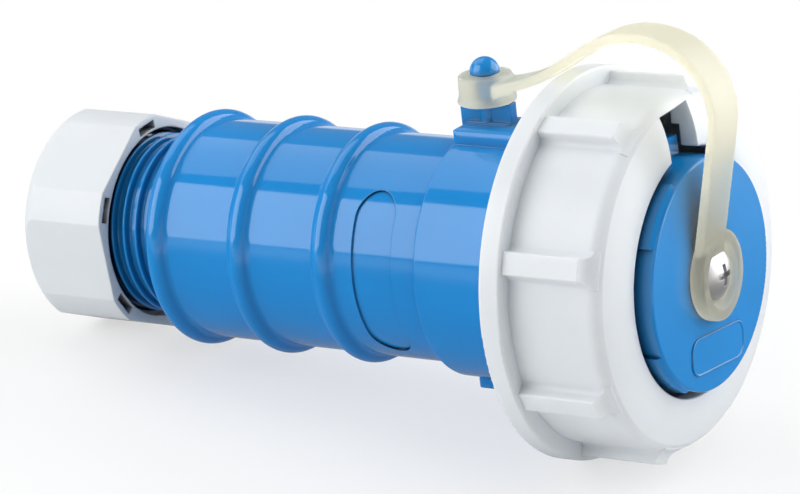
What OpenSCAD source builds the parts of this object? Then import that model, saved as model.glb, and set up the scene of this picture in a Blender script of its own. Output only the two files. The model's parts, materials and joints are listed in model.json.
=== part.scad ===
// Watertight two-pole coupler with side earth clips: ribbed housing, bayonet ring, strapped cap, cable gland
// The axis runs along X, the mating face is at the origin and the strap post points up (+Z)

/* [Rear housing] */
// Length of the ribbed housing, from the collar to its rear end
body_len = 74; // [68:1:84]
// Wall of the ribbed housing
body_wall = 2.8; // [2.2:0.1:3.4]
// Height of a grip rib above the housing
rib_h = 2.1; // [1.4:0.1:2.6]
// Radius of a grip rib's crest
rib_round = 2.4; // [2:0.1:2.8]
// Radius of the hollow at each foot of a grip rib
rib_fillet = 1.4; // [0.8:0.1:2]
// Distance between grip ribs
rib_pitch = 23; // [20:0.5:24]
// Number of grip ribs
rib_count = 3; // [2:1:3]
// Width of the recessed panel on the side, along the axis
panel_w = 10.4; // [8:0.2:12]
// Height of the recessed panel on the side
panel_h = 38; // [30:1:40]
// Depth of the recessed panel
panel_depth = 0.5; // [0.3:0.1:0.8]

/* [Collar] */
// How far the collar stands above the ribbed housing
collar_step = 2.5; // [2.2:0.1:3]
// Length of the collar behind the ring
collar_len = 27; // [26:0.5:31]
// Wall of the collar around the rear housing
collar_wall = 3.5; // [3.2:0.1:3.8]
// Width of the top and bottom blocks on the collar
boss_w = 13; // [11:0.5:15]
// How far the blocks stand above the collar
boss_rise = 2.9; // [2:0.1:4]
// Rounding of the blocks' edges
boss_round = 1.7; // [0.8:0.1:1.9]

/* [Socket] */
// Diameter of the well that takes the plug
well_d = 39; // [38.6:0.1:39.6]
// Depth of the well
well_depth = 17.5; // [16:0.5:18.5]
// Distance between the two pin holes
pin_pitch = 19; // [18.6:0.1:19.4]
// Diameter of a pin hole
pin_hole_d = 5.2; // [5:0.1:5.6]
// Diameter of a plug's pin
pin_d = 4.8; // [4.6:0.1:4.9]
// Wall of the contact insert around the well
insert_wall = 2.1; // [1.8:0.1:2.3]
// Wall of the housing sleeve around the insert
sleeve_wall = 1.7; // [1.5:0.1:1.9]
// Thickness of the flange that seats the insert
insert_flange_t = 3.8; // [3:0.2:4.6]
// Thickness of the housing ledge in front of that flange
ledge_t = 2.8; // [2.4:0.1:3.2]
// Width of that ledge
ledge_w = 2.9; // [2.6:0.1:3.2]
// Length of the contact carrier behind the insert
carrier_len = 18; // [16:0.5:20]
// Width of a guide rib in the well
guide_w = 5; // [4:0.5:6]
// Height of a guide rib in the well
guide_h = 1.6; // [1:0.1:2]
// Width of an earth clip
clip_w = 4.6; // [4:0.2:5.4]
// Thickness of the earth strip
clip_t = 0.8; // [0.6:0.1:1]

/* [Bayonet ring] */
// How far the rear flange stands above the drum
flange_rise = 4.2; // [3.4:0.1:5]
// Thickness of the rear flange
flange_t = 5; // [4.4:0.1:6]
// Space for a plug's collar between the ring and the housing's collar
plug_gap = 7.9; // [7:0.1:9]
// Length of the drum in front of the flange
drum_len = 19.1; // [18:0.1:20.5]
// Number of grip bars
bar_count = 8; // [6:1:10]
// Width of a grip bar
bar_w = 5.2; // [4.4:0.2:6.4]
// Radius of the hollow along each foot of a grip bar
bar_fillet = 1.6; // [1:0.1:2]
// Height of a grip bar above the drum
bar_rise = 3; // [2:0.1:3.4]
// Radius of the ring's front shoulder
shoulder_r = 4; // [3.8:0.1:4.2]
// How far the domed front face stands in front of the shoulder
dome_rise = 1.1; // [0.8:0.1:1.2]
// Wall of the ring
ring_wall = 3.8; // [3.2:0.1:4.2]
// Thickness of the lip around the opening
lip_t = 4.2; // [3.8:0.1:4.4]
// Width of the notch in the lip
notch_w = 12; // [10:0.5:13]
// How far the lip stands in front of the mating face
ring_front = 4.2; // [3.9:0.1:4.8]
// Angle of the notch from the top at rest
ring_angle = 2; // [0:1:8]

/* [Protective cap] */
// Wall of the cap's skirt
cap_wall = 2.3; // [2:0.1:2.5]
// How far the cap's face stands in front of the ring's lip
cap_proud = 3.4; // [2.8:0.1:3.8]
// Thickness of the cap's face
cap_face_t = 4.6; // [4:0.1:5]
// Length of the skirt behind the mating face
skirt_len = 11.5; // [9:0.5:13]
// Number of raised grips on the cap's edge
grip_count = 4; // [2:1:5]
// Height of the raised grips
grip_h = 0.7; // [0.4:0.1:1]
// Angle that a grip spans
grip_span = 35; // [26:1:40]
// Bevel at the front of a grip
grip_bevel = 0.9; // [0.5:0.1:1.2]
// Gap between the grips and the ring's opening
opening_gap = 1.1; // [0.6:0.1:1.3]
// How far the bayonet key reaches behind the lip
key_overlap = 2.5; // [1.5:0.1:3]
// Length of the bayonet key along the axis
key_len = 4; // [3:0.2:5]

/* [Strap] */
// Width of the strap at the cap
strap_w = 10; // [9:0.2:12]
// Width of the strap at the post
strap_neck_w = 9; // [8:0.2:10]
// Thickness of the strap
strap_t = 2.2; // [1.8:0.1:2.3]
// Diameter of the eye on the post
hub_d = 12.4; // [11:0.2:13.4]
// Height of the eye on the post
hub_h = 6.4; // [5.4:0.2:7]
// Diameter of the eye on the cap
eye_d = 20.4; // [19:0.2:22]
// Thickness of the eye on the cap
eye_t = 2.8; // [2.6:0.1:3.4]
// Diameter of the strap post
post_d = 4; // [3.6:0.1:4.4]
// Diameter of the post's head
post_head_d = 6.8; // [6:0.1:7.6]
// Diameter of the strap screw's head
screw_head_d = 11.2; // [10:0.2:12]
// Diameter of the strap screw's shank
screw_d = 4.8; // [4:0.2:5.2]

/* [Cable gland] */
// Wall of the threaded stub below its thread
stub_wall = 3.5; // [3:0.1:4]
// Height of the stub's thread
thread_h = 1.8; // [1.4:0.1:2]
// Length of the threaded stub
stub_len = 24; // [23:0.5:26]
// Bore of the stub
gland_bore_d = 32; // [30:0.5:33]
// Wall of the nut at its flats
nut_side = 2.8; // [2.6:0.1:3.4]
// How far the nut's rounded corners stand above its flats
nut_corner = 1.8; // [1.4:0.1:2.6]
// Length of the nut
nut_len = 23.6; // [22.6:0.2:24.6]
// Rounding of the nut's rear end
nut_round = 4; // [3:0.2:5]
// Gap between the nut and the rear housing at rest
nut_gap = 13.6; // [12:0.2:15]
// Thickness of the nut's rear wall
nut_wall = 5.2; // [4.8:0.1:5.6]
// Diameter of the cable hole in the nut
nut_hole_d = 21; // [18:0.5:24]
// Diameter of the cable that the grommet takes
cable_d = 12; // [8:0.5:14]
// Turn of the nut's corners at rest
nut_angle = 6; // [0:1:30]

/* [Hidden] */

blue = [0.16, 0.47, 0.76];
white = [0.91, 0.92, 0.93];
ivory = [0.93, 0.9, 0.8];
pale_grey = [0.78, 0.79, 0.8];
rubber = [0.12, 0.12, 0.13];
brass = [0.8, 0.65, 0.3];
steel = [0.72, 0.73, 0.75];

$fn = 96;
over = 1;            // how far a cutter reaches past the face it cuts
fit = 0.1;           // radial clearance of a fixed fit
run = 0.06;          // radial clearance of the ring on its collar
slip = 0.3;          // clearance of the cap, the strap and the gland pieces
end_gap = 0.4;       // end clearance of the ring

well_r = well_d / 2;
insert_r = well_r + insert_wall;
insert_bore_r = insert_r + fit;
sleeve_r = insert_bore_r + sleeve_wall;
socket_bore_r = insert_bore_r + ledge_w;
collar_r = socket_bore_r + collar_wall;
body_r = collar_r - collar_step;
spigot_r = socket_bore_r - fit / 2;
spigot_wall = 2.9;
spigot_in_r = spigot_r - spigot_wall;
carrier_r = spigot_in_r - fit;
insert_flange_r = socket_bore_r - slip;

cavity_r = collar_r + plug_gap;
drum_r = cavity_r + ring_wall;
flange_r = drum_r + flange_rise;
bar_r = drum_r + bar_rise;
lip_r = drum_r - shoulder_r;
lip_wall = 3.2;
lip_cavity_r = lip_r - lip_wall;
ring_bore_r = collar_r + run;
skirt_in_r = sleeve_r + slip;
cap_r = skirt_in_r + cap_wall;
grip_r = cap_r + grip_h;
opening_r = grip_r + opening_gap;
key_r = opening_r + key_overlap;
key_play = 0.7;
key_w = notch_w - 2 * key_play;
notch_out = 1.9;
notch_r = lip_r + notch_out;
bar_toe = 0.5;
toe_drop = 0.65;
toe_reach = 2.65;
hollow_r = 5;
bar_turn = 1.8;
bar_round = 0.6;

// Stations along the axis
ring_rear_x = ring_front - dome_rise - shoulder_r - drum_len - flange_t;
wall_front_x = ring_rear_x + flange_t;
shoulder_x = wall_front_x + drum_len;
lip_rear_x = ring_front - lip_t;
collar_front_x = wall_front_x + end_gap;
step_x = ring_rear_x - collar_len;
body_rear_x = step_x - body_len;
stub_rear_x = body_rear_x - stub_len;
ledge_x = collar_front_x - ledge_t;
insert_rear_x = ledge_x - insert_flange_t;
carrier_rear_x = insert_rear_x - carrier_len;

// Rear housing: end wall, throat and gland bore
end_wall = 6;
gland_bore_r = gland_bore_d / 2;
stub_r = gland_bore_r + stub_wall;
thread_r = stub_r + thread_h;
throat_step = 3;
throat_r = gland_bore_r - throat_step;
cavity_rear_x = body_rear_x + end_wall;
spigot_land = 3;
seat_depth = 5;
grommet_seat_x = body_rear_x - seat_depth;
stub_round = 1;
rib_end = rib_round;
panel_shift = 0.3;

// O-ring between the housings
o_ring_r = 0.8;
groove_w = 2 * (o_ring_r + fit);
groove_in = 4;
groove_x = step_x + groove_in;
groove_r = spigot_r - 2 * o_ring_r;

// Ring retainer and its screws
retainer_t = 3;
retainer_gap = 2.8;
retainer_r = cavity_r - retainer_gap;
retainer_screw_r = 1;
retainer_screw_len = 7;
retainer_head_r = 1.9;
retainer_head_t = 1.3;
retainer_screw_count = 3;
retainer_pitch_r = (socket_bore_r + collar_r) / 2;

// Strap post on the top block
fin_half_len = 6.5;
fin_back = 0;
post_x = step_x + fin_back + fin_half_len;
post_r = post_d / 2;
boss_z = collar_r + boss_rise;
fin_t = 2.6;
plinth_w = 0.9;
plinth_h = 0.6;
hub_drop = 8.2;
fin_top_z = flange_r - hub_drop;
hub_z = fin_top_z + slip / 3;
post_top_z = hub_z + hub_h + slip;
post_head_r = post_head_d / 2;
post_head_edge = 0.2;

// Cap
cap_front_x = ring_front + cap_proud;
cap_inside_x = cap_front_x - cap_face_t;
cap_edge_round = 0.5;
grip_set_back = 0.6;
grip_rear_x = ring_front - lip_t / 2;
grip_front_x = cap_front_x - grip_set_back;
grip_start = 43;
key_front_x = lip_rear_x - end_gap;
seal_r = skirt_in_r - fit;
seal_w = 3;
seal_rear_x = slip;

// Strap screw, its nut and the nut's boss inside the cap
screw_r = screw_d / 2;
screw_head_r = screw_head_d / 2;
screw_head_t = 2;
screw_hole_r = screw_r + fit;
nut_flat = 8;
nut_t = 4;
nut_cover = 2.2;
nut_pocket_x = cap_front_x - nut_cover;
nut_boss_wall = 2.4;
nut_boss_r = nut_flat / 2 / cos(30) + nut_boss_wall;
nut_boss_rear_x = nut_pocket_x - nut_t - slip;
screw_end_x = nut_boss_rear_x + fit;
recess_l = 5;
recess_w = 1.3;
recess_depth = 1.5;

// Strap: eye on the cap, then the run from the post, over the ring and down the front
eye_rear_x = cap_front_x + slip;
eye_floor_t = 1;
eye_play = 1.2;
eye_well_r = screw_head_r + eye_play;
eye_seat_x = eye_rear_x + eye_floor_t;
screw_seat_x = eye_seat_x + slip;
strap_rise = 11;
strap_climb = 31;
strap_crest = -18;
strap_drop = -102.5;
strap_fall = -90;
strap_lead = 7;
climb_r = 48;
crest_r = 24;
brow_r = 16;
foot_r = 12;
strap_start = [post_x, hub_z + hub_h / 2];
strap_sink = 5.2;
strap_lift = 0.35;
strap_yaw = -3.2;
strap_end = [eye_rear_x + strap_t / 2 + strap_lift, eye_d / 2 - strap_sink];
eye_round = 0.8;

// Where an arc of radius r ends, from heading a to heading b
function arc_step(r, a, b) = sign(b - a) * r * [sin(b) - sin(a), cos(a) - cos(b)];
function heading(a) = [cos(a), sin(a)];
strap_reach = strap_end - strap_start - strap_lead * heading(strap_rise)
    - arc_step(climb_r, strap_rise, strap_climb)
    - arc_step(crest_r, strap_climb, strap_crest)
    - arc_step(brow_r, strap_crest, strap_drop)
    - arc_step(foot_r, strap_drop, strap_fall);
// Lengths of the climb and of the drop that close the run on the cap's eye
strap_det = sin(strap_drop - strap_climb);
climb_len = (strap_reach[0] * sin(strap_drop) - strap_reach[1] * cos(strap_drop)) / strap_det;
drop_len = (strap_reach[1] * cos(strap_climb) - strap_reach[0] * sin(strap_climb)) / strap_det;
bend_step = 4;
// Straight length, then radius and turn of the bend that follows it
strap_bends = [
    [strap_lead, climb_r, strap_climb - strap_rise],
    [climb_len, crest_r, strap_crest - strap_climb],
    [0, brow_r, strap_drop - strap_crest],
    [drop_len, foot_r, strap_fall - strap_drop],
];

// Cable gland
nut_front_x = body_rear_x - nut_gap;
nut_rear_x = nut_front_x - nut_len;
nut_floor_x = nut_rear_x + nut_wall;
nut_bore_r = thread_r + slip;
nut_flat_r = nut_bore_r + nut_side;
nut_corner_r = nut_flat_r + nut_corner;
nut_point_r = nut_flat_r / cos(30);
pocket_l = 6;
pocket_w = 2;
pocket_depth = 3;
pocket_r = (nut_bore_r + nut_corner_r) / 2;
push_flange_t = 2;
push_flange_rear_x = nut_floor_x + slip;
push_play = 1;
push_flange_r = nut_bore_r - push_play;
push_r = gland_bore_r - slip;
push_hole_play = 2;
push_hole_r = cable_d / 2 + push_hole_play;
grommet_len = 17.5;
grommet_rear_x = grommet_seat_x - grommet_len;
push_nose_x = grommet_rear_x - slip;
grommet_r = gland_bore_r - fit;

// Contacts and their terminals
sleeve_out_r = 3.4;
contact_r = pin_d / 2;
contact_len = 14;
slit_w = 0.8;
slit_len = 9;
terminal_l = 9;
terminal_w = 8;
terminal_screw_r = 1.6;
terminal_screw_len = 5;
wire_r = 1.9;
earth_z = -11;
earth_half = well_r - fit;
earth_bow = 1.7;
earth_bow_front_x = -4;
earth_bow_rear_x = -15;
earth_bow_x = (earth_bow_front_x + earth_bow_rear_x) / 2;
earth_bow_half = (earth_bow_front_x - earth_bow_rear_x) / 2;
earth_bow_r = (pow(earth_bow_half, 2) + pow(earth_bow, 2)) / (2 * earth_bow);
clip_slot_w = clip_w + 2 * slip;
clip_slot_depth = 1.2;
carrier_screw_r = 1.5;
carrier_screw_head_r = 2.9;
carrier_screw_head_t = 2.4;
carrier_screw_depth = 6;
carrier_screw_yz = 10.6;

// Turns a section drawn as [radius, x] about the X axis
module revolve() {
    rotate([0, 90, 0])
        rotate_extrude()
            children();
}

// Turns a section through span degrees from the clock angle start, 0 at +Y and 90 at +Z
module sector(start, span) {
    rotate([start - 270, 0, 0])
        rotate([0, 90, 0])
            rotate_extrude(angle = span)
                children();
}

// Cylinder along X from x0 to x1
module rod_x(x0, x1, r) {
    translate([x0, 0, 0])
        rotate([0, 90, 0])
            cylinder(r = r, h = x1 - x0);
}

// Rectangle of a section from x0 to x1, out to radius r
module band(x0, x1, r) {
    translate([0, x0])
        square([r, x1 - x0]);
}

// Corner of side r that lies outside its quarter circle: a fillet when added, a round edge when cut
module spandrel(at, r, dx, dy) {
    translate(at)
        difference() {
            translate([dx > 0 ? -over : -r, dy > 0 ? -over : -r])
                square(r + over);
            translate([dx * r, dy * r])
                circle(r);
        }
}

module rib_section(x) {
    sink = rib_round - rib_h;
    reach = sqrt(pow(rib_round + rib_fillet, 2) - pow(rib_fillet + sink, 2));
    foot_h = rib_round * (rib_fillet + sink) / (rib_round + rib_fillet) - sink;
    translate([body_r - sink, x])
        circle(rib_round);
    difference() {
        translate([body_r - over, x - reach])
            square([over + foot_h, 2 * reach]);
        for (side = [-1, 1])
            translate([body_r + rib_fillet, x + side * reach])
                circle(rib_fillet);
    }
}

module rear_housing_section() {
    difference() {
        union() {
            band(step_x - over, insert_rear_x, spigot_r);
            band(body_rear_x, step_x, body_r);
            band(stub_rear_x, body_rear_x + over, stub_r);
            intersection() {
                for (i = [0 : rib_count - 1])
                    rib_section(body_rear_x + rib_end + i * rib_pitch);
                band(body_rear_x, step_x, body_r + 2 * rib_h);
            }
        }
        band(cavity_rear_x, step_x - spigot_land, body_r - body_wall);
        band(cavity_rear_x, insert_rear_x + over, spigot_in_r);
        band(grommet_seat_x - over, cavity_rear_x + over, throat_r);
        band(stub_rear_x - over, grommet_seat_x, gland_bore_r);
        spandrel([stub_r, stub_rear_x], stub_round, -1, 1);
        translate([groove_r, groove_x - groove_w / 2])
            square([spigot_r, groove_w]);
    }
}

// Racetrack panel sunk into the side of the housing
module side_panel() {
    last_rib_x = body_rear_x + rib_end + (rib_count - 1) * rib_pitch;
    intersection() {
        translate([(last_rib_x + step_x) / 2 + panel_shift, 0, 0])
            rotate([90, 0, 0])
                linear_extrude(height = 2 * body_r)
                    union() {
                        square([panel_w, panel_h - panel_w], center = true);
                        for (side = [-1, 1])
                            translate([0, side * (panel_h - panel_w) / 2])
                                circle(panel_w / 2);
                    }
        difference() {
            rod_x(body_rear_x, step_x, body_r + over);
            rod_x(body_rear_x - over, step_x + over, body_r - panel_depth);
        }
    }
}

module rear_housing() {
    color(blue)
        difference() {
            revolve() rear_housing_section();
            side_panel();
        }
}

// Block on the collar with a rounded top, from the collar's axis upwards
module collar_block() {
    block_len = ring_rear_x - end_gap - step_x;
    intersection() {
        translate([step_x, 0, 0])
            rotate([90, 0, 90])
                linear_extrude(height = block_len)
                    difference() {
                        translate([-boss_w / 2, 0])
                            square([boss_w, boss_z]);
                        for (side = [-1, 1])
                            spandrel([side * boss_w / 2, boss_z], boss_round, -side, -1);
                    }
        rotate([90, 0, 0])
            linear_extrude(height = boss_w + 2 * over, center = true)
                difference() {
                    translate([step_x, 0])
                        square([block_len, boss_z]);
                    spandrel([step_x, boss_z], boss_round, 1, -1);
                }
        linear_extrude(height = boss_z)
            difference() {
                translate([step_x, -boss_w / 2])
                    square([block_len, boss_w]);
                for (side = [-1, 1])
                    spandrel([step_x, side * boss_w / 2], boss_round, 1, -side);
            }
    }
}

module strap_post() {
    translate([post_x - fin_half_len, -fin_t / 2, boss_z - boss_round])
        cube([2 * fin_half_len, fin_t, fin_top_z - boss_z + boss_round]);
    translate([post_x - fin_half_len + boss_round, -fin_t / 2 - plinth_w, boss_z - over])
        cube([2 * fin_half_len - boss_round, fin_t + 2 * plinth_w, plinth_h + over]);
    translate([post_x, 0, boss_z - over])
        cylinder(r = post_r, h = post_top_z - boss_z + over + post_head_edge / 2);
    translate([post_x, 0, post_top_z])
        cylinder(r = post_head_r, h = post_head_edge);
    intersection() {
        translate([post_x, 0, post_top_z + post_head_edge])
            sphere(r = post_head_r);
        translate([post_x - post_head_d, -post_head_d, post_top_z + post_head_edge])
            cube(2 * post_head_d);
    }
}

module front_housing() {
    collar_round = 0.8;
    color(blue)
        difference() {
            union() {
                revolve()
                    difference() {
                        union() {
                            band(step_x, collar_front_x, collar_r);
                            band(collar_front_x - over, 0, sleeve_r);
                        }
                        spandrel([collar_r, step_x], collar_round, -1, 1);
                        spandrel([sleeve_r, 0], collar_round, -1, -1);
                    }
                collar_block();
                mirror([0, 0, 1]) collar_block();
                strap_post();
            }
            rod_x(step_x - over, ledge_x, socket_bore_r);
            rod_x(ledge_x - over, over, insert_bore_r);
            retainer_screw_places()
                rod_x(collar_front_x - retainer_screw_len, collar_front_x + over, retainer_screw_r + fit / 2);
        }
}

module housing_o_ring() {
    color(rubber)
        revolve()
            translate([groove_r + o_ring_r, groove_x])
                circle(o_ring_r);
}

module retainer_screw_places() {
    for (i = [0 : retainer_screw_count - 1])
        rotate([30 + i * 360 / retainer_screw_count, 0, 0])
            translate([0, retainer_pitch_r, 0])
                children();
}

module ring_retainer() {
    color(blue)
        difference() {
            revolve()
                difference() {
                    band(collar_front_x, collar_front_x + retainer_t, retainer_r);
                    band(collar_front_x - over, collar_front_x + retainer_t + over, sleeve_r + fit);
                    spandrel([retainer_r, collar_front_x + retainer_t], retainer_t / 3, -1, -1);
                }
            retainer_screw_places()
                rod_x(collar_front_x - over, collar_front_x + retainer_t + over, retainer_screw_r + fit / 2);
        }
}

module retainer_screws() {
    head_x = collar_front_x + retainer_t;
    color(steel)
        retainer_screw_places() {
            rod_x(head_x - retainer_t - retainer_screw_len + over, head_x + retainer_head_t / 2, retainer_screw_r);
            rod_x(head_x, head_x + retainer_head_t, retainer_head_r);
        }
}

module pin_places() {
    for (side = [-1, 1])
        translate([0, side * pin_pitch / 2, 0])
            children();
}

module carrier_screw_places() {
    for (side = [-1, 1])
        translate([0, side * carrier_screw_yz, side * carrier_screw_yz])
            children();
}

// Ribs on the sides of the well that guide the plug
module guide_ribs() {
    intersection() {
        difference() {
            rod_x(-well_depth - over, -over, well_r + insert_wall / 2);
            translate([-well_depth - 2 * over, -well_r + guide_h, -well_r])
                cube([well_depth + 2 * over, well_d - 2 * guide_h, well_d]);
        }
        translate([-well_depth - over, -well_d, -guide_w / 2])
            cube([well_depth, 2 * well_d, guide_w]);
    }
}

module contact_insert() {
    color(pale_grey)
        difference() {
            union() {
                revolve()
                    difference() {
                        union() {
                            band(insert_rear_x, 0, insert_r);
                            band(insert_rear_x, ledge_x, insert_flange_r);
                        }
                        band(-well_depth, over, well_r);
                    }
                guide_ribs();
            }
            pin_places()
                rod_x(insert_rear_x - over, over, pin_hole_d / 2);
            carrier_screw_places()
                rod_x(insert_rear_x - over, insert_rear_x + carrier_screw_depth + over, carrier_screw_r + fit / 2);
            for (side = [-1, 1])
                translate([insert_rear_x - over, -clip_slot_w / 2, side * (earth_half - clip_t / 2) - clip_slot_depth])
                    cube([earth_bow_front_x + 2 - insert_rear_x + over, clip_slot_w, 2 * clip_slot_depth]);
        }
}

module contact_carrier() {
    tab_slot = clip_t + 2 * slip;
    color(rubber)
        difference() {
            rod_x(carrier_rear_x, insert_rear_x, carrier_r);
            pin_places()
                rod_x(carrier_rear_x - over, insert_rear_x + over, sleeve_out_r + fit);
            carrier_screw_places()
                rod_x(carrier_rear_x - over, insert_rear_x + over, carrier_screw_r + fit / 2);
            translate([insert_rear_x - clip_t - fit, -clip_slot_w / 2, -earth_half - fit])
                cube([clip_t + fit + over, clip_slot_w, 2 * (earth_half + fit)]);
            translate([carrier_rear_x - over, -clip_slot_w / 2, earth_z - tab_slot / 2])
                cube([carrier_len + 2 * over, clip_slot_w, tab_slot]);
        }
}

// Screw terminal behind the carrier, with its wire hole along X and its screw hole from above
module terminal() {
    difference() {
        translate([carrier_rear_x - terminal_l, -terminal_w / 2, -terminal_w / 2])
            cube([terminal_l, terminal_w, terminal_w]);
        rod_x(carrier_rear_x - terminal_l - over, carrier_rear_x - over, wire_r);
        translate([carrier_rear_x - terminal_l / 2, 0, 0])
            cylinder(r = terminal_screw_r + fit / 2, h = terminal_w);
    }
}

module line_contact(side) {
    tip_x = insert_rear_x - fit;
    color(brass)
        translate([0, side * pin_pitch / 2, 0]) {
            difference() {
                rod_x(carrier_rear_x, tip_x, sleeve_out_r);
                rod_x(tip_x - contact_len, tip_x + over, contact_r);
                translate([tip_x - slit_len, -slit_w / 2, -sleeve_out_r - over])
                    cube([slit_len + over, slit_w, 2 * (sleeve_out_r + over)]);
            }
            terminal();
        }
}

module line_contact_left() {
    line_contact(-1);
}

module line_contact_right() {
    line_contact(1);
}

// Side section of one earth clip as [x, z]: a straight leg and a bowed spring at its front
module clip_section() {
    leg_z = earth_half - clip_t;
    translate([insert_rear_x - clip_t, leg_z])
        square([earth_bow_rear_x - insert_rear_x + clip_t, clip_t]);
    intersection() {
        translate([earth_bow_x, earth_half - earth_bow + earth_bow_r - clip_t / 2])
            difference() {
                circle(earth_bow_r + clip_t / 2);
                circle(earth_bow_r - clip_t / 2);
            }
        translate([earth_bow_rear_x - clip_t / 2, 0])
            square([2 * earth_bow_half + clip_t / 2, earth_half]);
    }
}

module earth_contact() {
    color(brass) {
        for (side = [0, 1])
            mirror([0, 0, side])
                rotate([90, 0, 0])
                    linear_extrude(height = clip_w, center = true)
                        clip_section();
        translate([insert_rear_x - clip_t, -clip_w / 2, -earth_half])
            cube([clip_t, clip_w, 2 * earth_half]);
        translate([carrier_rear_x - over, -clip_w / 2, earth_z - clip_t / 2])
            cube([carrier_len + over, clip_w, clip_t]);
        translate([0, 0, earth_z])
            terminal();
    }
}

module terminal_screws() {
    slot_w = 0.7;
    color(steel)
        for (place = [[-pin_pitch / 2, 0], [pin_pitch / 2, 0], [0, earth_z]])
            translate([carrier_rear_x - terminal_l / 2, place[0], place[1] + wire_r + slip])
                difference() {
                    cylinder(r = terminal_screw_r, h = terminal_screw_len);
                    translate([-terminal_screw_len, -slot_w / 2, terminal_screw_len - slot_w])
                        cube([2 * terminal_screw_len, slot_w, slot_w + over]);
                }
}

module carrier_screws() {
    slot_w = 0.9;
    head_x = carrier_rear_x - carrier_screw_head_t;
    color(steel)
        carrier_screw_places()
            difference() {
                union() {
                    rod_x(head_x, carrier_rear_x, carrier_screw_head_r);
                    rod_x(carrier_rear_x - over, insert_rear_x + carrier_screw_depth, carrier_screw_r);
                }
                translate([head_x - over, -carrier_screw_head_r - over, -slot_w / 2])
                    cube([over + slot_w, 2 * (carrier_screw_head_r + over), slot_w]);
            }
}

// Front of the ring's section: a rounded shoulder that runs into a domed face
module ring_front_section() {
    dome_r = (pow(lip_r - opening_r, 2) + pow(dome_rise, 2)) / (2 * dome_rise);
    intersection() {
        translate([opening_r, ring_front - dome_r])
            circle(dome_r);
        union() {
            translate([lip_r, shoulder_x])
                circle(shoulder_r);
            band(shoulder_x - over, ring_front, lip_r);
        }
        band(shoulder_x - over, ring_front, drum_r);
    }
}

module ring_section() {
    edge_round = 0.5;
    difference() {
        union() {
            band(ring_rear_x, wall_front_x, flange_r);
            band(ring_rear_x, shoulder_x, drum_r);
            ring_front_section();
        }
        band(ring_rear_x - over, wall_front_x + over, ring_bore_r);
        band(wall_front_x, shoulder_x - over, cavity_r);
        band(wall_front_x, lip_rear_x, lip_cavity_r);
        band(lip_rear_x - over, ring_front + over, opening_r);
        spandrel([flange_r, ring_rear_x], edge_round, -1, 1);
        spandrel([flange_r, wall_front_x], edge_round, -1, -1);
        spandrel([opening_r, ring_front], edge_round, 1, -1);
    }
}

// Section of a grip bar: level over the drum, then a hollow end that runs down the shoulder
module bar_section() {
    brink = [bar_r, shoulder_x - bar_toe];
    toe = [drum_r - toe_drop, shoulder_x + toe_reach];
    slope = toe - brink;
    out = [slope[1], -slope[0]] / norm(slope);
    hollow_c = (brink + toe) / 2 + out * sqrt(pow(hollow_r, 2) - pow(norm(slope) / 2, 2));
    difference() {
        polygon([
            [cavity_r + ring_wall / 2, wall_front_x - over],
            [bar_r, wall_front_x - over],
            [bar_r, toe[1]],
            [lip_r, toe[1]],
            [lip_r, shoulder_x],
            [cavity_r + ring_wall / 2, shoulder_x],
        ]);
        translate(hollow_c)
            circle(hollow_r);
    }
}

// End view of a grip bar as [y, z]: rounded on top, with a hollow along each foot
module bar_profile() {
    foot_w = bar_w + 2 * bar_fillet;
    foot_z = sqrt(pow(drum_r, 2) - pow(foot_w / 2, 2));
    difference() {
        union() {
            translate([-bar_w / 2, lip_r - over])
                square([bar_w, bar_r + over - lip_r]);
            translate([-foot_w / 2, lip_r - over])
                square([foot_w, foot_z - lip_r + over]);
            for (side = [-1, 1])
                spandrel([side * bar_w / 2, foot_z], bar_fillet, side, 1);
        }
        for (side = [-1, 1])
            spandrel([side * bar_w / 2, bar_r], bar_round, -side, -1);
    }
}

module grip_bars() {
    intersection() {
        revolve() bar_section();
        for (i = [0 : bar_count - 1])
            rotate([(i + 0.5) * 360 / bar_count + bar_turn, 0, 0])
                translate([ring_rear_x, 0, 0])
                    rotate([90, 0, 90])
                        linear_extrude(height = ring_front - ring_rear_x)
                            bar_profile();
    }
}

module bayonet_ring() {
    color(white)
        rotate([ring_angle, 0, 0])
            difference() {
                union() {
                    revolve() ring_section();
                    grip_bars();
                }
                translate([shoulder_x - over, -notch_w / 2, cap_r])
                    cube([ring_front - shoulder_x + 2 * over, notch_w, notch_r - cap_r]);
            }
}

module cap_section() {
    difference() {
        union() {
            difference() {
                band(-skirt_len, cap_front_x, cap_r);
                band(-skirt_len - over, cap_inside_x, skirt_in_r);
                spandrel([cap_r, cap_front_x], cap_edge_round, -1, -1);
            }
            band(nut_boss_rear_x, cap_inside_x + over, nut_boss_r);
        }
        band(nut_boss_rear_x - over, cap_front_x + over, screw_hole_r);
    }
}

module bayonet_key() {
    rotate([ring_angle, 0, 0])
        intersection() {
            revolve()
                difference() {
                    band(key_front_x - key_len, key_front_x, key_r);
                    band(key_front_x - key_len - over, key_front_x + over, (skirt_in_r + cap_r) / 2);
                }
            translate([key_front_x - key_len - over, -key_w / 2, 0])
                cube([key_len + 2 * over, key_w, key_r + over]);
        }
}

module protective_cap() {
    color(blue)
        difference() {
            union() {
                revolve() cap_section();
                for (i = [0 : grip_count - 1])
                    sector(grip_start + i * 360 / grip_count - grip_span / 2, grip_span)
                        polygon([
                            [cap_r - over, grip_rear_x],
                            [grip_r, grip_rear_x],
                            [grip_r, grip_front_x - grip_bevel],
                            [cap_r, grip_front_x],
                            [cap_r - over, grip_front_x],
                        ]);
                bayonet_key();
            }
            translate([nut_pocket_x - nut_t - over, 0, 0])
                rotate([0, 90, 0])
                    cylinder(r = (nut_flat / 2 + fit) / cos(30), h = nut_t + over, $fn = 6);
        }
}

module cap_seal() {
    color(rubber)
        revolve()
            translate([seal_r - seal_w, seal_rear_x])
                square([seal_w, cap_inside_x - seal_rear_x]);
}

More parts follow.
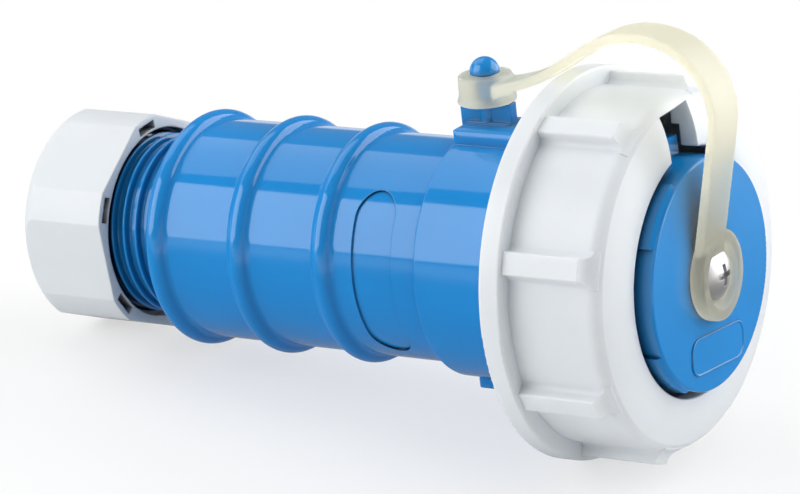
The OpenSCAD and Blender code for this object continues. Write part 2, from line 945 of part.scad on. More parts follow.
module strap_screw() {
    dome_r = (pow(screw_head_r, 2) + pow(screw_head_t, 2)) / (2 * screw_head_t);
    head_x = screw_seat_x + screw_head_t;
    color(steel)
        difference() {
            union() {
                rod_x(screw_end_x, screw_seat_x + over, screw_r);
                revolve()
                    intersection() {
                        translate([0, head_x - dome_r])
                            circle(dome_r);
                        band(screw_seat_x, head_x + over, screw_head_r + over);
                    }
            }
            for (turn = [0, 90])
                rotate([turn, 0, 0])
                    translate([head_x - recess_depth, -recess_l / 2, -recess_w / 2])
                        cube([recess_depth + over, recess_l, recess_w]);
        }
}

module strap_nut() {
    color(steel)
        difference() {
            translate([nut_pocket_x - nut_t, 0, 0])
                rotate([0, 90, 0])
                    cylinder(r = nut_flat / 2 / cos(30), h = nut_t, $fn = 6);
            rod_x(nut_pocket_x - nut_t - over, nut_pocket_x + over, screw_r + fit / 2);
        }
}

// Points and headings along the strap's middle line, a bend drawn in steps of bend_step degrees
function run_marks(i, at, dir) = i == len(strap_bends) ? [] : let (
    straight = strap_bends[i][0],
    radius = strap_bends[i][1],
    turn = strap_bends[i][2],
    start = at + straight * heading(dir),
    steps = ceil(abs(turn) / bend_step)
) concat(
    i == 0 ? [[at, dir]] : [],
    [for (k = [straight > 0 ? 0 : 1 : steps])
        [start + arc_step(radius, dir, dir + turn * k / steps), dir + turn * k / steps]],
    run_marks(i + 1, start + arc_step(radius, dir, dir + turn), dir + turn)
);
function strap_side(marks, side) = [for (m = marks) m[0] + side * strap_t / 2 * heading(m[1] + 90)];

// Side view of the strap as [x, z]
module strap_run() {
    marks = run_marks(0, strap_start, strap_rise);
    back = [for (i = [len(marks) - 1 : -1 : 0]) marks[i]];
    polygon(concat(strap_side(marks, 1), strap_side(back, -1)));
}

// Strap seen from above: the narrow neck at the post and the full width from the ring on
module strap_plan() {
    polygon([
        [post_x, -strap_neck_w / 2],
        [ring_rear_x, -strap_neck_w / 2],
        [shoulder_x, -strap_w / 2],
        [eye_rear_x + brow_r, -strap_w / 2],
        [eye_rear_x + brow_r, strap_w / 2],
        [shoulder_x, strap_w / 2],
        [ring_rear_x, strap_neck_w / 2],
        [post_x, strap_neck_w / 2],
    ]);
}

module cap_strap() {
    color(ivory)
        difference() {
            union() {
                translate([post_x, 0, 0])
                    rotate([0, 0, strap_yaw])
                        translate([-post_x, 0, 0])
                            intersection() {
                                rotate([90, 0, 0])
                                    linear_extrude(height = 2 * strap_w, center = true)
                                        strap_run();
                                linear_extrude(height = 2 * flange_r)
                                    strap_plan();
                            }
                translate([post_x, 0, hub_z])
                    cylinder(r = hub_d / 2, h = hub_h);
                revolve()
                    difference() {
                        band(eye_rear_x, eye_rear_x + eye_t, eye_d / 2);
                        spandrel([eye_d / 2, eye_rear_x + eye_t], eye_round, -1, -1);
                    }
            }
            translate([post_x, 0, hub_z - over])
                cylinder(r = post_r + fit, h = hub_h + 2 * over);
            rod_x(eye_rear_x - over, eye_rear_x + eye_t + over, screw_r + slip);
            rod_x(eye_seat_x, eye_rear_x + eye_t + over, eye_well_r);
        }
}

module sealing_grommet() {
    color(rubber)
        revolve()
            difference() {
                band(grommet_rear_x, grommet_seat_x, grommet_r);
                band(grommet_rear_x - over, grommet_seat_x + over, cable_d / 2);
            }
}

module pressure_ring() {
    color(white)
        revolve()
            difference() {
                union() {
                    band(push_flange_rear_x, push_nose_x, push_r);
                    band(push_flange_rear_x, push_flange_rear_x + push_flange_t, push_flange_r);
                }
                band(push_flange_rear_x - over, push_nose_x + over, push_hole_r);
            }
}

module gland_nut() {
    mouth_round = 2;
    mouth_gap = 0.9;
    mouth_depth = 3;
    color(white)
        rotate([nut_angle, 0, 0])
            difference() {
                intersection() {
                    translate([nut_rear_x, 0, 0])
                        rotate([0, 90, 0])
                            cylinder(r = nut_point_r, h = nut_len, $fn = 6);
                    revolve()
                        difference() {
                            band(nut_rear_x - over, nut_front_x + over, nut_corner_r);
                            spandrel([nut_corner_r, nut_rear_x], nut_round, -1, 1);
                        }
                }
                revolve() {
                    band(nut_floor_x, nut_front_x + over, nut_bore_r);
                    band(nut_rear_x - over, nut_front_x, nut_hole_d / 2);
                    spandrel([nut_hole_d / 2, nut_rear_x], mouth_round, 1, 1);
                    band(nut_front_x - mouth_depth, nut_front_x + over, nut_bore_r + mouth_gap);
                }
                for (i = [0 : 5])
                    rotate([i * 60, 0, 0])
                        translate([nut_front_x - pocket_depth, -pocket_l / 2, pocket_r - pocket_w / 2])
                            cube([pocket_depth + over, pocket_l, pocket_w]);
            }
}

front_housing();
rear_housing();
housing_o_ring();
ring_retainer();
retainer_screws();
contact_insert();
contact_carrier();
line_contact_left();
line_contact_right();
earth_contact();
terminal_screws();
carrier_screws();
bayonet_ring();
protective_cap();
cap_seal();
strap_screw();
strap_nut();
cap_strap();
sealing_grommet();
pressure_ring();
gland_nut();
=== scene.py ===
import json
import math

import bmesh
import bpy
from mathutils import Matrix, Vector

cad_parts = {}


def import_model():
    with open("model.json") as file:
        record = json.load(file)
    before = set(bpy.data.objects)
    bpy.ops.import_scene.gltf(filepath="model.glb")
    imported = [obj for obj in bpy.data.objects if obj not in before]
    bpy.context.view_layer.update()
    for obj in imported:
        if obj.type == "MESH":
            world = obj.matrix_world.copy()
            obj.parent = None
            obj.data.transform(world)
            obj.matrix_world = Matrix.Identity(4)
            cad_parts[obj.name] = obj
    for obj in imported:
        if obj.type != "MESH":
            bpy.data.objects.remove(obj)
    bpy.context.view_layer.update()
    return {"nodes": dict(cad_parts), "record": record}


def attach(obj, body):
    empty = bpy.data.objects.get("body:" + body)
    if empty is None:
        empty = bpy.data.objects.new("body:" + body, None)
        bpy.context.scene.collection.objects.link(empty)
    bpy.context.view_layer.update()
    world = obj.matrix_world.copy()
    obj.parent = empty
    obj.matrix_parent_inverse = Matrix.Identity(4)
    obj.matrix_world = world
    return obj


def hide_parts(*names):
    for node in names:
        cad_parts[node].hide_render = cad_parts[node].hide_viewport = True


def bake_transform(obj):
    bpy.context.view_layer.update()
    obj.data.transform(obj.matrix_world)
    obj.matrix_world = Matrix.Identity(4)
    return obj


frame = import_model()
nodes = frame["nodes"]
scene = bpy.context.scene
MM = 0.001

# Sizes and places that the part's source gives, in millimetres; the mating face is at X = 0
BODY_REAR = -126.0
STUB_REAR = -150.0
STUB_R = 19.5
POST_X = -45.5
POST_R = 2.0
HUB_Z = 35.9
HUB_H = 6.4
HUB_R = 6.2
CAP_FRONT = 7.6
EYE_R = 10.2
EYE_T = 2.8
EYE_WELL_R = 6.8
EYE_GAP = 0.3
EYE_FLOOR_T = 1.0
STRAP_T = 2.2
STRAP_W = 10.0
STRAP_NECK_W = 9.0
STRAP_YAW = math.radians(-3.2)
GROMMET_SEAT_X = -131.0
GROMMET_REAR_X = -148.5
GROMMET_R = 15.9
CABLE_R = 6.0


# Materials

DRIFT_SCALE = 45.0  # size of the colour drift, in noise cells per metre
DRIFT_RANGE = (0.3, 0.7)  # part of the noise that the colours are spread over
GLOSS_SCALE = 160.0  # size of the gloss patches, in noise cells per metre
GLOSS_RANGE = (0.85, 1.2)  # lowest and highest share of the roughness
GRAIN_DEPTH = 0.1 * MM
EDGE_SAMPLES = 6
SCATTER_RADIUS = (1.0, 0.9, 0.7)
SCATTER_SCALE = 3 * MM
# Painted shade: the base colour is darkened where ambient occlusion finds surfaces close by, in crevices,
# gaps and recesses
PAINTED_SHADE_SAMPLES = 8
PAINTED_SHADE_RANGE = (0.15, 0.85)  # openness at which the painted shade of a crevice is darkest, and at which the colour is fully bright
PAINTED_SHADE_DARK = 0.08  # share of the colour left under the painted shade of the deepest crevice


def set_sockets(node, values):
    for name, value in values.items():
        node.inputs[name].default_value = value


def node_of(tree, kind, sockets=None, **settings):
    """A new node with these settings and socket values."""
    made = tree.nodes.new(kind)
    for name, value in settings.items():
        setattr(made, name, value)
    set_sockets(made, sockets or {})
    return made


def moulded(
    name, color, roughness, grain=0.04, grain_mm=0.7, edge_mm=0.3, ior=1.5,
    subsurface=0.0, clear=0.0, shade=0.04, painted_shade_mm=0.0,
):
    """Moulded plastic or rubber: colour drift, uneven gloss, fine grain, softened edges, and painted shade
    that darkens the colour in crevices.
    """
    material = bpy.data.materials.new(name)
    material.use_nodes = True
    tree = material.node_tree
    shader = tree.nodes["Principled BSDF"]
    set_sockets(shader, {
        "IOR": ior,
        "Transmission Weight": clear,
        "Subsurface Weight": subsurface,
        "Subsurface Radius": SCATTER_RADIUS,
        "Subsurface Scale": SCATTER_SCALE,
    })
    where = node_of(tree, "ShaderNodeTexCoord")
    drift = node_of(tree, "ShaderNodeTexNoise", {"Scale": DRIFT_SCALE, "Detail": 3.0})
    ramp = node_of(tree, "ShaderNodeValToRGB")
    for stop, position, strength in zip(ramp.color_ramp.elements, DRIFT_RANGE, (1 - shade, 1 + shade)):
        stop.position = position
        stop.color = [min(1, c * strength) for c in color] + [1]
    gloss = node_of(tree, "ShaderNodeTexNoise", {"Scale": GLOSS_SCALE, "Detail": 4.0})
    spread = node_of(tree, "ShaderNodeMapRange", {
        "To Min": roughness * GLOSS_RANGE[0],
        "To Max": roughness * GLOSS_RANGE[1],
    })
    fine = node_of(tree, "ShaderNodeTexNoise", {"Scale": 1 / (grain_mm * MM), "Detail": 2.0})
    bump = node_of(tree, "ShaderNodeBump", {"Strength": grain, "Distance": GRAIN_DEPTH})
    edge = node_of(tree, "ShaderNodeBevel", {"Radius": edge_mm * MM}, samples=EDGE_SAMPLES)
    link = tree.links.new
    for texture in (drift, gloss, fine):
        link(where.outputs["Object"], texture.inputs["Vector"])
    link(drift.outputs["Fac"], ramp.inputs["Fac"])
    # Painted shade: ambient occlusion darkens the base colour in crevices and gaps
    if painted_shade_mm:
        near = node_of(
            tree, "ShaderNodeAmbientOcclusion", {"Distance": painted_shade_mm * MM}, samples=PAINTED_SHADE_SAMPLES,
        )
        depth = node_of(tree, "ShaderNodeMapRange", {
            "From Min": PAINTED_SHADE_RANGE[0],
            "From Max": PAINTED_SHADE_RANGE[1],
            "To Min": PAINTED_SHADE_DARK,
        })
        shaded = node_of(tree, "ShaderNodeVectorMath", operation="SCALE")
        link(near.outputs["AO"], depth.inputs["Value"])
        link(ramp.outputs["Color"], shaded.inputs[0])
        link(depth.outputs["Result"], shaded.inputs["Scale"])
        link(shaded.outputs["Vector"], shader.inputs["Base Color"])
    else:
        link(ramp.outputs["Color"], shader.inputs["Base Color"])
    link(gloss.outputs["Fac"], spread.inputs["Value"])
    link(spread.outputs["Result"], shader.inputs["Roughness"])
    link(fine.outputs["Fac"], bump.inputs["Height"])
    link(edge.outputs["Normal"], bump.inputs["Normal"])
    link(bump.outputs["Normal"], shader.inputs["Normal"])
    return material


def metal(name, color, roughness):
    """Plated or turned metal with a finer grain and sharper edges than plastic."""
    material = moulded(name, color, roughness, grain=0.06, grain_mm=0.25, edge_mm=0.15, shade=0.08)
    set_sockets(material.node_tree.nodes["Principled BSDF"], {"Metallic": 1.0})
    return material


def lets_light_through(material, color, share):
    """Adds the glow of a thin, milky moulding that is lit from behind."""
    tree = material.node_tree
    shader = tree.nodes["Principled BSDF"]
    through = node_of(tree, "ShaderNodeBsdfTranslucent", {"Color": (*color, 1)})
    mix = node_of(tree, "ShaderNodeMixShader", {"Fac": share})
    tree.links.new(shader.outputs["BSDF"], mix.inputs[1])
    tree.links.new(through.outputs["BSDF"], mix.inputs[2])
    tree.links.new(mix.outputs["Shader"], tree.nodes["Material Output"].inputs["Surface"])


BLUE = (0.005, 0.235, 0.62)
WHITE = (0.75, 0.785, 0.815)
NUT_WHITE = (0.705, 0.74, 0.768)
IVORY = (0.97, 0.945, 0.81)
BLUE_LOOK = {"roughness": 0.08, "grain": 0.012, "edge_mm": 0.35, "ior": 1.58}
WHITE_LOOK = {"roughness": 0.34, "grain": 0.05, "shade": 0.015}
# Both blues paint shade into their crevices; the second is a copy with heavier painted shade, for the cap and
# the gland thread
blue = moulded("blue_plastic", BLUE, painted_shade_mm=4.0, **BLUE_LOOK)
blue_heavy_painted_shade = moulded("blue_plastic_heavy_painted_shade", BLUE, painted_shade_mm=6.0, **BLUE_LOOK)
white = moulded("white_plastic", WHITE, subsurface=0.45, **WHITE_LOOK)
# The nut's copy of the white plastic is a little darker and paints shade into its crevices
white_nut = moulded(
    "white_nut_plastic", NUT_WHITE, edge_mm=0.6, subsurface=0.12, painted_shade_mm=3.0, **WHITE_LOOK,
)
ivory = moulded("ivory_plastic", IVORY, roughness=0.38, grain=0.05, subsurface=0.2, clear=0.8, shade=0.03)
lets_light_through(ivory, IVORY, share=0.3)
grey = moulded("grey_plastic", (0.45, 0.46, 0.47), roughness=0.4)
dark = moulded("dark_plastic", (0.02, 0.02, 0.022), roughness=0.45)
rubber = moulded("black_rubber", (0.018, 0.018, 0.019), roughness=0.6, grain=0.12)
steel = metal("steel", (0.66, 0.65, 0.65), roughness=0.42)
brass = metal("contact_brass", (0.72, 0.52, 0.22), roughness=0.25)

SLOT_MATERIAL = {
    "blue_plastic": blue,
    "white_plastic": white,
    "ivory_plastic": ivory,
    "grey_plastic": grey,
    "dark_plastic": dark,
    "black_rubber": rubber,
    "steel": steel,
    "contact_brass": brass,
}
for subpart in frame["record"]["subparts"]:
    mesh = nodes[subpart["node"]].data
    mesh.materials.clear()
    mesh.materials.append(SLOT_MATERIAL[subpart["material_slot"]])
# The nut and the cap get the copies of their plastics that paint shade into their crevices
nodes["gland_nut"].data.materials[0] = white_nut
nodes["protective_cap"].data.materials[0] = blue_heavy_painted_shade


# Mesh building


def new_piece(name, points, faces, material, body=None):
    """A smooth-shaded object from points in millimetres, riding on a body where one is named."""
    mesh = bpy.data.meshes.new(name)
    mesh.from_pydata([tuple(c * MM for c in p) for p in points], [], faces)
    made = bmesh.new()
    made.from_mesh(mesh)
    bmesh.ops.recalc_face_normals(made, faces=made.faces)
    made.to_mesh(mesh)
    made.free()
    for polygon in mesh.polygons:
        polygon.use_smooth = True
    mesh.materials.append(material)
    piece = bpy.data.objects.new(name, mesh)
    scene.collection.objects.link(piece)
    if body:
        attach(piece, body)
    return piece


def rings(loops, closed):
    """Faces between loops of equal length; a closed run joins the last loop to the first."""
    count = len(loops[0])
    points = [p for loop in loops for p in loop]
    faces = []
    for i in range(len(loops) if closed else len(loops) - 1):
        a, b = i * count, (i + 1) % len(loops) * count
        for k in range(count):
            n = (k + 1) % count
            faces.append((a + k, a + n, b + n, b + k))
    if not closed:
        faces.append(tuple(reversed(range(count))))
        faces.append(tuple(range(len(points) - count, len(points))))
    return points, faces


def rounded(corners, radius, steps=5):
    """A closed outline with each corner replaced by an arc."""
    outline = []
    for i, corner in enumerate(corners):
        here = Vector(corner)
        back = (Vector(corners[i - 1]) - here).normalized()
        ahead = (Vector(corners[(i + 1) % len(corners)]) - here).normalized()
        half = back.angle(ahead) / 2
        run = radius / math.tan(half)
        centre = here + (back + ahead).normalized() * (radius / math.sin(half))
        start, end = here + back * run - centre, here + ahead * run - centre
        turn = start.angle_signed(end)
        for k in range(steps + 1):
            a = -turn * k / steps
            outline.append((
                centre.x + start.x * math.cos(a) - start.y * math.sin(a),
                centre.y + start.x * math.sin(a) + start.y * math.cos(a),
            ))
    return outline


def lathe(outline, place, segments=96):
    """Turns a closed (radius, height) outline; place maps (c, s, height) to a point."""
    loops = []
    for k in range(segments):
        a = 2 * math.pi * k / segments
        loops.append([place(r * math.cos(a), r * math.sin(a), h) for r, h in outline])
    return rings(loops, closed=True)


def smooth_step(t):
    t = min(1.0, max(0.0, t))
    return t * t * (3 - 2 * t)


# Gland thread, a helix on the housing's plain stub

THREAD_R = 21.2  # a little less than the source allows for the crests
THREAD_PITCH = 3.4  # travel of the nut per turn in the record
THREAD_SECTORS = 160
THREAD_STEP_X = 0.12
THREAD_IN_BODY = 0.6  # the thread starts inside the housing's end
THREAD_END_GAP = 1.2
THREAD_PHASE = 0.05  # share of a turn that brings the crests where the photo has them
THREAD_SKIN = 0.05  # height of the valleys above the stub
THREAD_SUNK = 0.6  # depth of the thread's inner side in the stub
TOOTH_HALF_W = 0.74
TOOTH_FLANK = 0.52
RUN_OUT_END = 3.0
RUN_OUT_BODY = 1.5


def thread():
    start, end = BODY_REAR + THREAD_IN_BODY, STUB_REAR + THREAD_END_GAP
    count = int((start - end) / THREAD_STEP_X)
    valley_r, inner_r = STUB_R + THREAD_SKIN, STUB_R - THREAD_SUNK
    loops = []
    for k in range(THREAD_SECTORS):
        share = k / THREAD_SECTORS
        a = 2 * math.pi * share
        loop = []
        for i in range(count + 1):
            x = start + (end - start) * i / count
            off = abs((x / THREAD_PITCH - share + THREAD_PHASE) % 1.0 - 0.5) * THREAD_PITCH
            tooth = smooth_step((TOOTH_HALF_W - off) / TOOTH_FLANK)
            fade = min(1.0, (count - i) * THREAD_STEP_X / RUN_OUT_END, max(0.0, (start - x) / RUN_OUT_BODY))
            r = valley_r + (THREAD_R - valley_r) * fade * tooth
            loop.append((x, r * math.cos(a), r * math.sin(a)))
        for x in (end, start):
            loop.append((x, inner_r * math.cos(a), inner_r * math.sin(a)))
        loops.append(loop)
    points, faces = rings(loops, closed=True)
    return new_piece("gland_thread", points, faces, blue_heavy_painted_shade, "coupler")


thread()


# Strap, from the post over the ring to the cap, with the same bends as its solid

RISE, CLIMB, CREST, DROP, FALL = (math.radians(v) for v in (11, 31, -18, -102.5, -90))
STRAP_BENDS = ((48.0, RISE, CLIMB), (24.0, CLIMB, CREST), (16.0, CREST, DROP), (12.0, DROP, FALL))
STRAP_LEAD = 7.0
STRAP_LIFT = 0.35  # height of the strap's end above the eye's rear face
STRAP_SINK = 5.2  # how far the strap reaches into the eye
BEND_STEPS_MIN = 4
NECK_FROM, NECK_RUN = 16.0, 26.0  # along the strap, where it widens from neck to band
ROOT_DEEP, ROOT_FROM, ROOT_RUN = 1.3, 3.0, 8.0  # thicker root, and where it thins out
STRAP_BOW = -0.6
STRAP_EDGE_R = 0.5
HUB_PLAY = 0.1
HUB_FLARE = 0.5
HUB_DRAFT = 0.1
HUB_FOOT_H, HUB_FLARE_H = 1.1, 1.8
HUB_EDGE_R = 0.3
EYE_HOLE_R = 2.9  # a little wider than in the solid
EYE_SEAT = 0.05
EYE_DRAFT = 0.1
EYE_LEAN = 0.05
EYE_RIM_OUT, EYE_RIM_IN = 0.5, 0.3  # slope of the well's wall
EYE_EDGE_R = 0.4
FUSE_VOXEL_MM = 0.34
FUSE_ROUNDS = 6
FUSE_STRENGTH = 0.5


def heading(angle):
    return Vector((math.cos(angle), math.sin(angle)))


def arc_step(radius, a, b):
    """The way from one end of an arc to the other, from heading a to heading b."""
    side = 1 if b > a else -1
    return side * radius * Vector((math.sin(b) - math.sin(a), math.cos(a) - math.cos(b)))


def strap_line():
    """Middle line of the strap as points (x, z), each with its heading."""
    start = Vector((POST_X, HUB_Z + HUB_H / 2))
    end = Vector((CAP_FRONT + EYE_GAP + STRAP_T / 2 + STRAP_LIFT, EYE_R - STRAP_SINK))
    reach = end - start - STRAP_LEAD * heading(RISE)
    for radius, a, b in STRAP_BENDS:
        reach -= arc_step(radius, a, b)
    det = math.sin(DROP - CLIMB)
    climb_len = (reach.x * math.sin(DROP) - reach.y * math.cos(DROP)) / det
    drop_len = (reach.y * math.cos(CLIMB) - reach.x * math.sin(CLIMB)) / det
    at, marks = start, []
    for straight, (radius, a, b) in zip((STRAP_LEAD, climb_len, 0.0, drop_len), STRAP_BENDS):
        steps = max(1, int(straight))
        for k in range(steps):
            marks.append((at + heading(a) * straight * k / steps, a))
        at = at + heading(a) * straight
        steps = max(BEND_STEPS_MIN, int(abs(b - a) * radius))
        for k in range(steps):
            turn = a + (b - a) * k / steps
            marks.append((at + arc_step(radius, a, turn) if k else at, turn))
        at = at + arc_step(radius, a, b)
    marks.append((at, FALL))
    return marks


def strap_band():
    """The strap as a swept bar that leans to one side of the post, thicker where it leaves the hub."""
    marks = strap_line()
    steps = [0.0] + [(marks[i + 1][0] - marks[i][0]).length for i in range(len(marks) - 1)]
    total = sum(steps)
    loops = []
    gone = 0.0
    for (at, angle), step in zip(marks, steps):
        gone += step
        half = (STRAP_NECK_W + (STRAP_W - STRAP_NECK_W) * smooth_step((gone - NECK_FROM) / NECK_RUN)) / 2
        deep = ROOT_DEEP * (1 - smooth_step((gone - ROOT_FROM) / ROOT_RUN))
        bow = STRAP_BOW * math.sin(math.pi * gone / total) ** 2
        up = heading(angle + math.pi / 2)
        low, high = -STRAP_T / 2 - deep, STRAP_T / 2
        section = rounded([(-half, low), (half, low), (half, high), (-half, high)], STRAP_EDGE_R, steps=4)
        loop = []
        for u, v in section:
            out = at.x + up.x * v - POST_X
            loop.append((
                POST_X + out * math.cos(STRAP_YAW) - u * math.sin(STRAP_YAW),
                out * math.sin(STRAP_YAW) + u * math.cos(STRAP_YAW) + bow,
                at.y + up.y * v,
            ))
        loops.append(loop)
    return rings(loops, closed=False)


def strap_hub():
    """The ring on the post, with a flared foot."""
    bore, top = POST_R + HUB_PLAY, HUB_Z + HUB_H
    outline = [
        (bore, HUB_Z),
        (HUB_R + HUB_FLARE, HUB_Z),
        (HUB_R + HUB_FLARE - HUB_DRAFT, HUB_Z + HUB_FOOT_H),
        (HUB_R, HUB_Z + HUB_FLARE_H),
        (HUB_R - HUB_DRAFT, top),
        (bore, top),
    ]
    return lathe(rounded(outline, HUB_EDGE_R), lambda c, s, h: (POST_X + c, s, h))


def strap_eye():
    """The disc on the cap, with a well for the screw's head."""
    rear, front = CAP_FRONT + EYE_SEAT, CAP_FRONT + EYE_GAP + EYE_T
    well = CAP_FRONT + EYE_GAP + EYE_FLOOR_T
    outline = [
        (EYE_HOLE_R, rear),
        (EYE_R + EYE_DRAFT, rear),
        (EYE_R - EYE_DRAFT, front),
        (EYE_WELL_R + EYE_RIM_OUT, front),
        (EYE_WELL_R - EYE_RIM_IN, well),
        (EYE_HOLE_R, well),
    ]
    return lathe(
        rounded(outline, EYE_EDGE_R, steps=3),
        lambda c, s, h: (h - EYE_LEAN * c * (h - rear) / (front - rear), c, s),
    )


def joined(parts):
    points, faces = [], []
    for some, more in parts:
        faces += [tuple(i + len(points) for i in face) for face in more]
        points += some
    return points, faces


def fused(piece):
    """Melts the overlapping shells of a piece into one soft moulding."""
    remesh = piece.modifiers.new("fuse", "REMESH")
    remesh.mode = "VOXEL"
    remesh.voxel_size = FUSE_VOXEL_MM * MM
    relax = piece.modifiers.new("soften", "SMOOTH")
    relax.factor = FUSE_STRENGTH
    relax.iterations = FUSE_ROUNDS
    view = bpy.context.evaluated_depsgraph_get()
    mesh = bpy.data.meshes.new_from_object(piece.evaluated_get(view))
    piece.modifiers.clear()
    old = piece.data
    piece.data = mesh
    bpy.data.meshes.remove(old)
    for polygon in mesh.polygons:
        polygon.use_smooth = True


def strap():
    points, faces = joined([strap_band(), strap_hub(), strap_eye()])
    piece = new_piece("strap_moulding", points, faces, ivory)
    fused(piece)
    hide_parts("cap_strap")
    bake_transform(piece)


strap()


# Soft grommet, which the pressure ring squeezes as the nut is tightened

GROMMET_EDGE_R = 0.6


def grommet():
    outline = [
        (CABLE_R, GROMMET_REAR_X),
        (GROMMET_R, GROMMET_REAR_X),
        (GROMMET_R, GROMMET_SEAT_X),
        (CABLE_R, GROMMET_SEAT_X),
    ]
    points, faces = lathe(rounded(outline, GROMMET_EDGE_R, steps=4), lambda c, s, h: (h, c, s))
    piece = new_piece("soft_grommet", points, faces, rubber)
    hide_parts("sealing_grommet")
    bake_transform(piece)


grommet()


# Bare plate on the cap, where a name plate would be

PLATE_AT = Vector((0.2, -17.3))
PLATE_TILT = math.radians(-6)
PLATE_LEFT, PLATE_RIGHT, PLATE_HALF_H = -12, 11.6, 4.2
PLATE_CORNER_R = 3.0
PLATE_RISE = 0.35
PLATE_SUNK = 0.4
PLATE_BEVEL = 0.12
PLATE_FIELD_DEEP = 0.2  # depth of the field inside the plate's rim


def cap_plate():
    corners = [
        (PLATE_LEFT, -PLATE_HALF_H),
        (PLATE_RIGHT, -PLATE_HALF_H),
        (PLATE_RIGHT, PLATE_HALF_H),
        (PLATE_LEFT, PLATE_HALF_H),
    ]
    turn = Matrix.Rotation(PLATE_TILT, 2).transposed()
    outline = [Vector(p) @ turn for p in rounded(corners, PLATE_CORNER_R, steps=8)]
    # Share of the outline and height above the cap, from the sunken edge over the rim to the field
    rows = [
        (1.0, -PLATE_SUNK),
        (1.0, PLATE_RISE - PLATE_BEVEL),
        (0.985, PLATE_RISE),
        (0.95, PLATE_RISE),
        (0.94, PLATE_RISE - PLATE_FIELD_DEEP),
        (0.92, PLATE_RISE - PLATE_FIELD_DEEP),
    ]
    loops = [[(CAP_FRONT + h, *(PLATE_AT + p * k)) for p in outline] for k, h in rows]
    points, faces = rings(loops, closed=False)
    return new_piece("cap_plate", points, faces, blue, "cap")


cap_plate()


# Stage: the coupler lies on its ring and its gland nut. Lengths here are in metres.

REST_TILT = math.radians(7.3)
FLOOR_UP = Vector((math.sin(REST_TILT), 0, math.cos(REST_TILT)))
FLOOR_SIZE = 30
FLOOR_COLOR = (0.93, 0.93, 0.93, 1)
OVAL_SHIFT, OVAL_SCALE = (0.04, 0, 0), (0.55, 1, 1)  # make the distance oval about the coupler's middle
SHADOW_RANGE = (0.06, 0.16)  # distance over which the floor turns white
SHADOW_WHITE = 0.6  # share of white under the coupler, where its shadow shows
MIRROR_RANGE = (0.10, 0.40)  # distance over which the floor brightens in reflections
MIRROR_NEAR = 0.3  # brightness of the floor under the coupler in reflections
WORLD_STRENGTH = 0.25
HORIZON_TOP = 0.16  # upward part of a direction, above which reflections see no white
floor_low = min(FLOOR_UP.dot(v.co) for o in nodes.values() for v in o.data.vertices)


def floor():
    """A pale floor that is white away from the coupler, and dimmer near it in reflections."""
    bpy.ops.mesh.primitive_plane_add(size=FLOOR_SIZE)
    plane = bpy.context.object
    plane.name = "floor"
    plane.matrix_world = Matrix.Translation(FLOOR_UP * floor_low) @ Matrix.Rotation(REST_TILT, 4, "Y")
    material = bpy.data.materials.new("floor")
    material.use_nodes = True
    tree = material.node_tree
    shader = tree.nodes["Principled BSDF"]
    set_sockets(shader, {"Base Color": FLOOR_COLOR, "Roughness": 0.7, "Specular IOR Level": 0.1})
    glow = node_of(tree, "ShaderNodeEmission", {"Strength": 1.0})
    mirrored = node_of(tree, "ShaderNodeEmission")
    where = node_of(tree, "ShaderNodeTexCoord")
    oval = node_of(
        tree, "ShaderNodeMapping", {"Location": OVAL_SHIFT, "Scale": OVAL_SCALE}, vector_type="POINT",
    )
    far = node_of(tree, "ShaderNodeVectorMath", operation="LENGTH")
    fade, dim = (
        node_of(
            tree, "ShaderNodeMapRange", {"From Min": reach[0], "From Max": reach[1], "To Min": least},
            interpolation_type="SMOOTHSTEP",
        )
        for reach, least in ((SHADOW_RANGE, SHADOW_WHITE), (MIRROR_RANGE, MIRROR_NEAR))
    )
    rays = node_of(tree, "ShaderNodeLightPath")
    seen = node_of(tree, "ShaderNodeMath", operation="MAXIMUM")
    share = node_of(tree, "ShaderNodeMath", operation="MULTIPLY")
    lit = node_of(tree, "ShaderNodeMixShader")
    mix = node_of(tree, "ShaderNodeMixShader")
    link = tree.links.new
    link(where.outputs["Object"], oval.inputs["Vector"])
    link(oval.outputs["Vector"], far.inputs[0])
    link(far.outputs["Value"], fade.inputs["Value"])
    link(far.outputs["Value"], dim.inputs["Value"])
    link(rays.outputs["Is Camera Ray"], seen.inputs[0])
    link(rays.outputs["Is Transmission Ray"], seen.inputs[1])
    link(fade.outputs["Result"], share.inputs[0])
    link(seen.outputs["Value"], share.inputs[1])
    link(share.outputs["Value"], lit.inputs["Fac"])
    link(shader.outputs["BSDF"], lit.inputs[1])
    link(glow.outputs["Emission"], lit.inputs[2])
    link(dim.outputs["Result"], mirrored.inputs["Strength"])
    link(rays.outputs["Is Glossy Ray"], mix.inputs["Fac"])
    link(lit.outputs["Shader"], mix.inputs[1])
    link(mirrored.outputs["Emission"], mix.inputs[2])
    link(mix.outputs["Shader"], tree.nodes["Material Output"].inputs["Surface"])
    plane.data.materials.append(material)


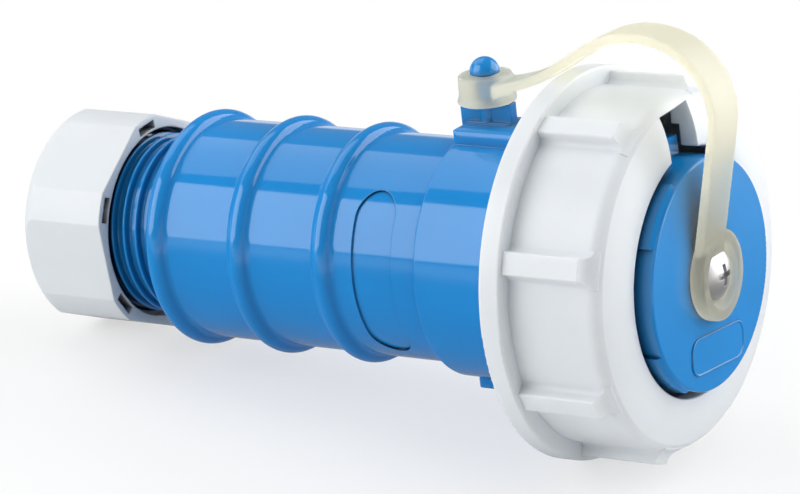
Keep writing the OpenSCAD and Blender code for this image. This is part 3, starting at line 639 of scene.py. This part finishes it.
def world():
    """Even, weak light that looks white to the camera, through clear plastic, and low down in reflections."""
    made = bpy.data.worlds.new("studio")
    scene.world = made
    made.use_nodes = True
    tree = made.node_tree
    back = tree.nodes["Background"]
    set_sockets(back, {"Color": (1, 1, 1, 1), "Strength": WORLD_STRENGTH})
    white_back = node_of(tree, "ShaderNodeBackground", {"Strength": 1.0})
    where = node_of(tree, "ShaderNodeTexCoord")
    height = node_of(tree, "ShaderNodeSeparateXYZ")
    fade = node_of(
        tree, "ShaderNodeMapRange", {"From Min": 0.0, "From Max": HORIZON_TOP, "To Min": 1.0, "To Max": 0.0},
        interpolation_type="SMOOTHSTEP",
    )
    rays = node_of(tree, "ShaderNodeLightPath")
    mirrored = node_of(tree, "ShaderNodeMath", operation="MULTIPLY")
    clear = node_of(tree, "ShaderNodeMath", operation="MAXIMUM")
    seen = node_of(tree, "ShaderNodeMath", operation="MAXIMUM")
    mix = node_of(tree, "ShaderNodeMixShader")
    link = tree.links.new
    link(where.outputs["Generated"], height.inputs["Vector"])
    link(height.outputs["Z"], fade.inputs["Value"])
    link(fade.outputs["Result"], mirrored.inputs[0])
    link(rays.outputs["Is Glossy Ray"], mirrored.inputs[1])
    link(rays.outputs["Is Camera Ray"], clear.inputs[0])
    link(rays.outputs["Is Transmission Ray"], clear.inputs[1])
    link(clear.outputs["Value"], seen.inputs[0])
    link(mirrored.outputs["Value"], seen.inputs[1])
    link(seen.outputs["Value"], mix.inputs["Fac"])
    link(back.outputs["Background"], mix.inputs[1])
    link(white_back.outputs["Background"], mix.inputs[2])
    link(mix.outputs["Shader"], tree.nodes["World Output"].inputs["Surface"])


BODY_MIDDLE = Vector((-70, 0, 0)) * MM
SOCKET_FACE = Vector((0, 0, 0))


def softbox(name, side, distance, size, power, aim=BODY_MIDDLE):
    """A rectangular lamp that faces the coupler, with its long edges level with the axis."""
    light = bpy.data.lights.new(name, "AREA")
    light.shape = "RECTANGLE"
    light.size, light.size_y = size
    light.energy = power
    lamp = bpy.data.objects.new(name, light)
    scene.collection.objects.link(lamp)
    out = Vector(side).normalized()
    along = (Vector((1, 0, 0)) - out * out.x).normalized()
    axes = Matrix((along, out.cross(along), out)).transposed()
    lamp.matrix_world = Matrix.Translation(aim + out * distance) @ axes.to_4x4()
    return lamp


floor()
world()
softbox("key", side=(-0.54, -0.692, 0.476), distance=1.0, size=(1.0, 0.838), power=7.1)
softbox("top", side=(-0.54, 0.153, 0.826), distance=1.0, size=(1.0, 0.766), power=2.7)
softbox("right", side=(0.72, 0.66, 0.22), distance=1.1, size=(1.4, 1.4), power=16.0)
overhead = softbox(
    "overhead", side=(0.25, 0.0, 0.97), distance=0.7, size=(0.6, 0.6), power=1.4, aim=SOCKET_FACE,
)
overhead.visible_glossy = False


# Camera at the photo's angle

CAMERA_AT = Vector((424.4, -726.4, 285.3)) * MM
CAMERA_AZIMUTH, CAMERA_ELEVATION, CAMERA_ROLL = (math.radians(v) for v in (34.42, 18.0, 6.4))
CAMERA_LENS = 182.2
CAMERA_SENSOR = 36.0
CAMERA_CLIP = (0.05, 20.0)


def camera():
    data = bpy.data.cameras.new("camera")
    data.sensor_width = CAMERA_SENSOR
    data.lens = CAMERA_LENS
    data.clip_start, data.clip_end = CAMERA_CLIP
    made = bpy.data.objects.new("camera", data)
    scene.collection.objects.link(made)
    level = Vector((math.cos(CAMERA_AZIMUTH), math.sin(CAMERA_AZIMUTH), 0))
    tall = Vector((
        -math.sin(CAMERA_AZIMUTH) * math.sin(CAMERA_ELEVATION),
        math.cos(CAMERA_AZIMUTH) * math.sin(CAMERA_ELEVATION),
        math.cos(CAMERA_ELEVATION),
    ))
    right = level * math.cos(CAMERA_ROLL) - tall * math.sin(CAMERA_ROLL)
    up = tall * math.cos(CAMERA_ROLL) + level * math.sin(CAMERA_ROLL)
    axes = Matrix((right, up, right.cross(up))).transposed()
    made.matrix_world = Matrix.Translation(CAMERA_AT) @ axes.to_4x4()
    scene.camera = made


camera()
scene.view_settings.view_transform = "Standard"
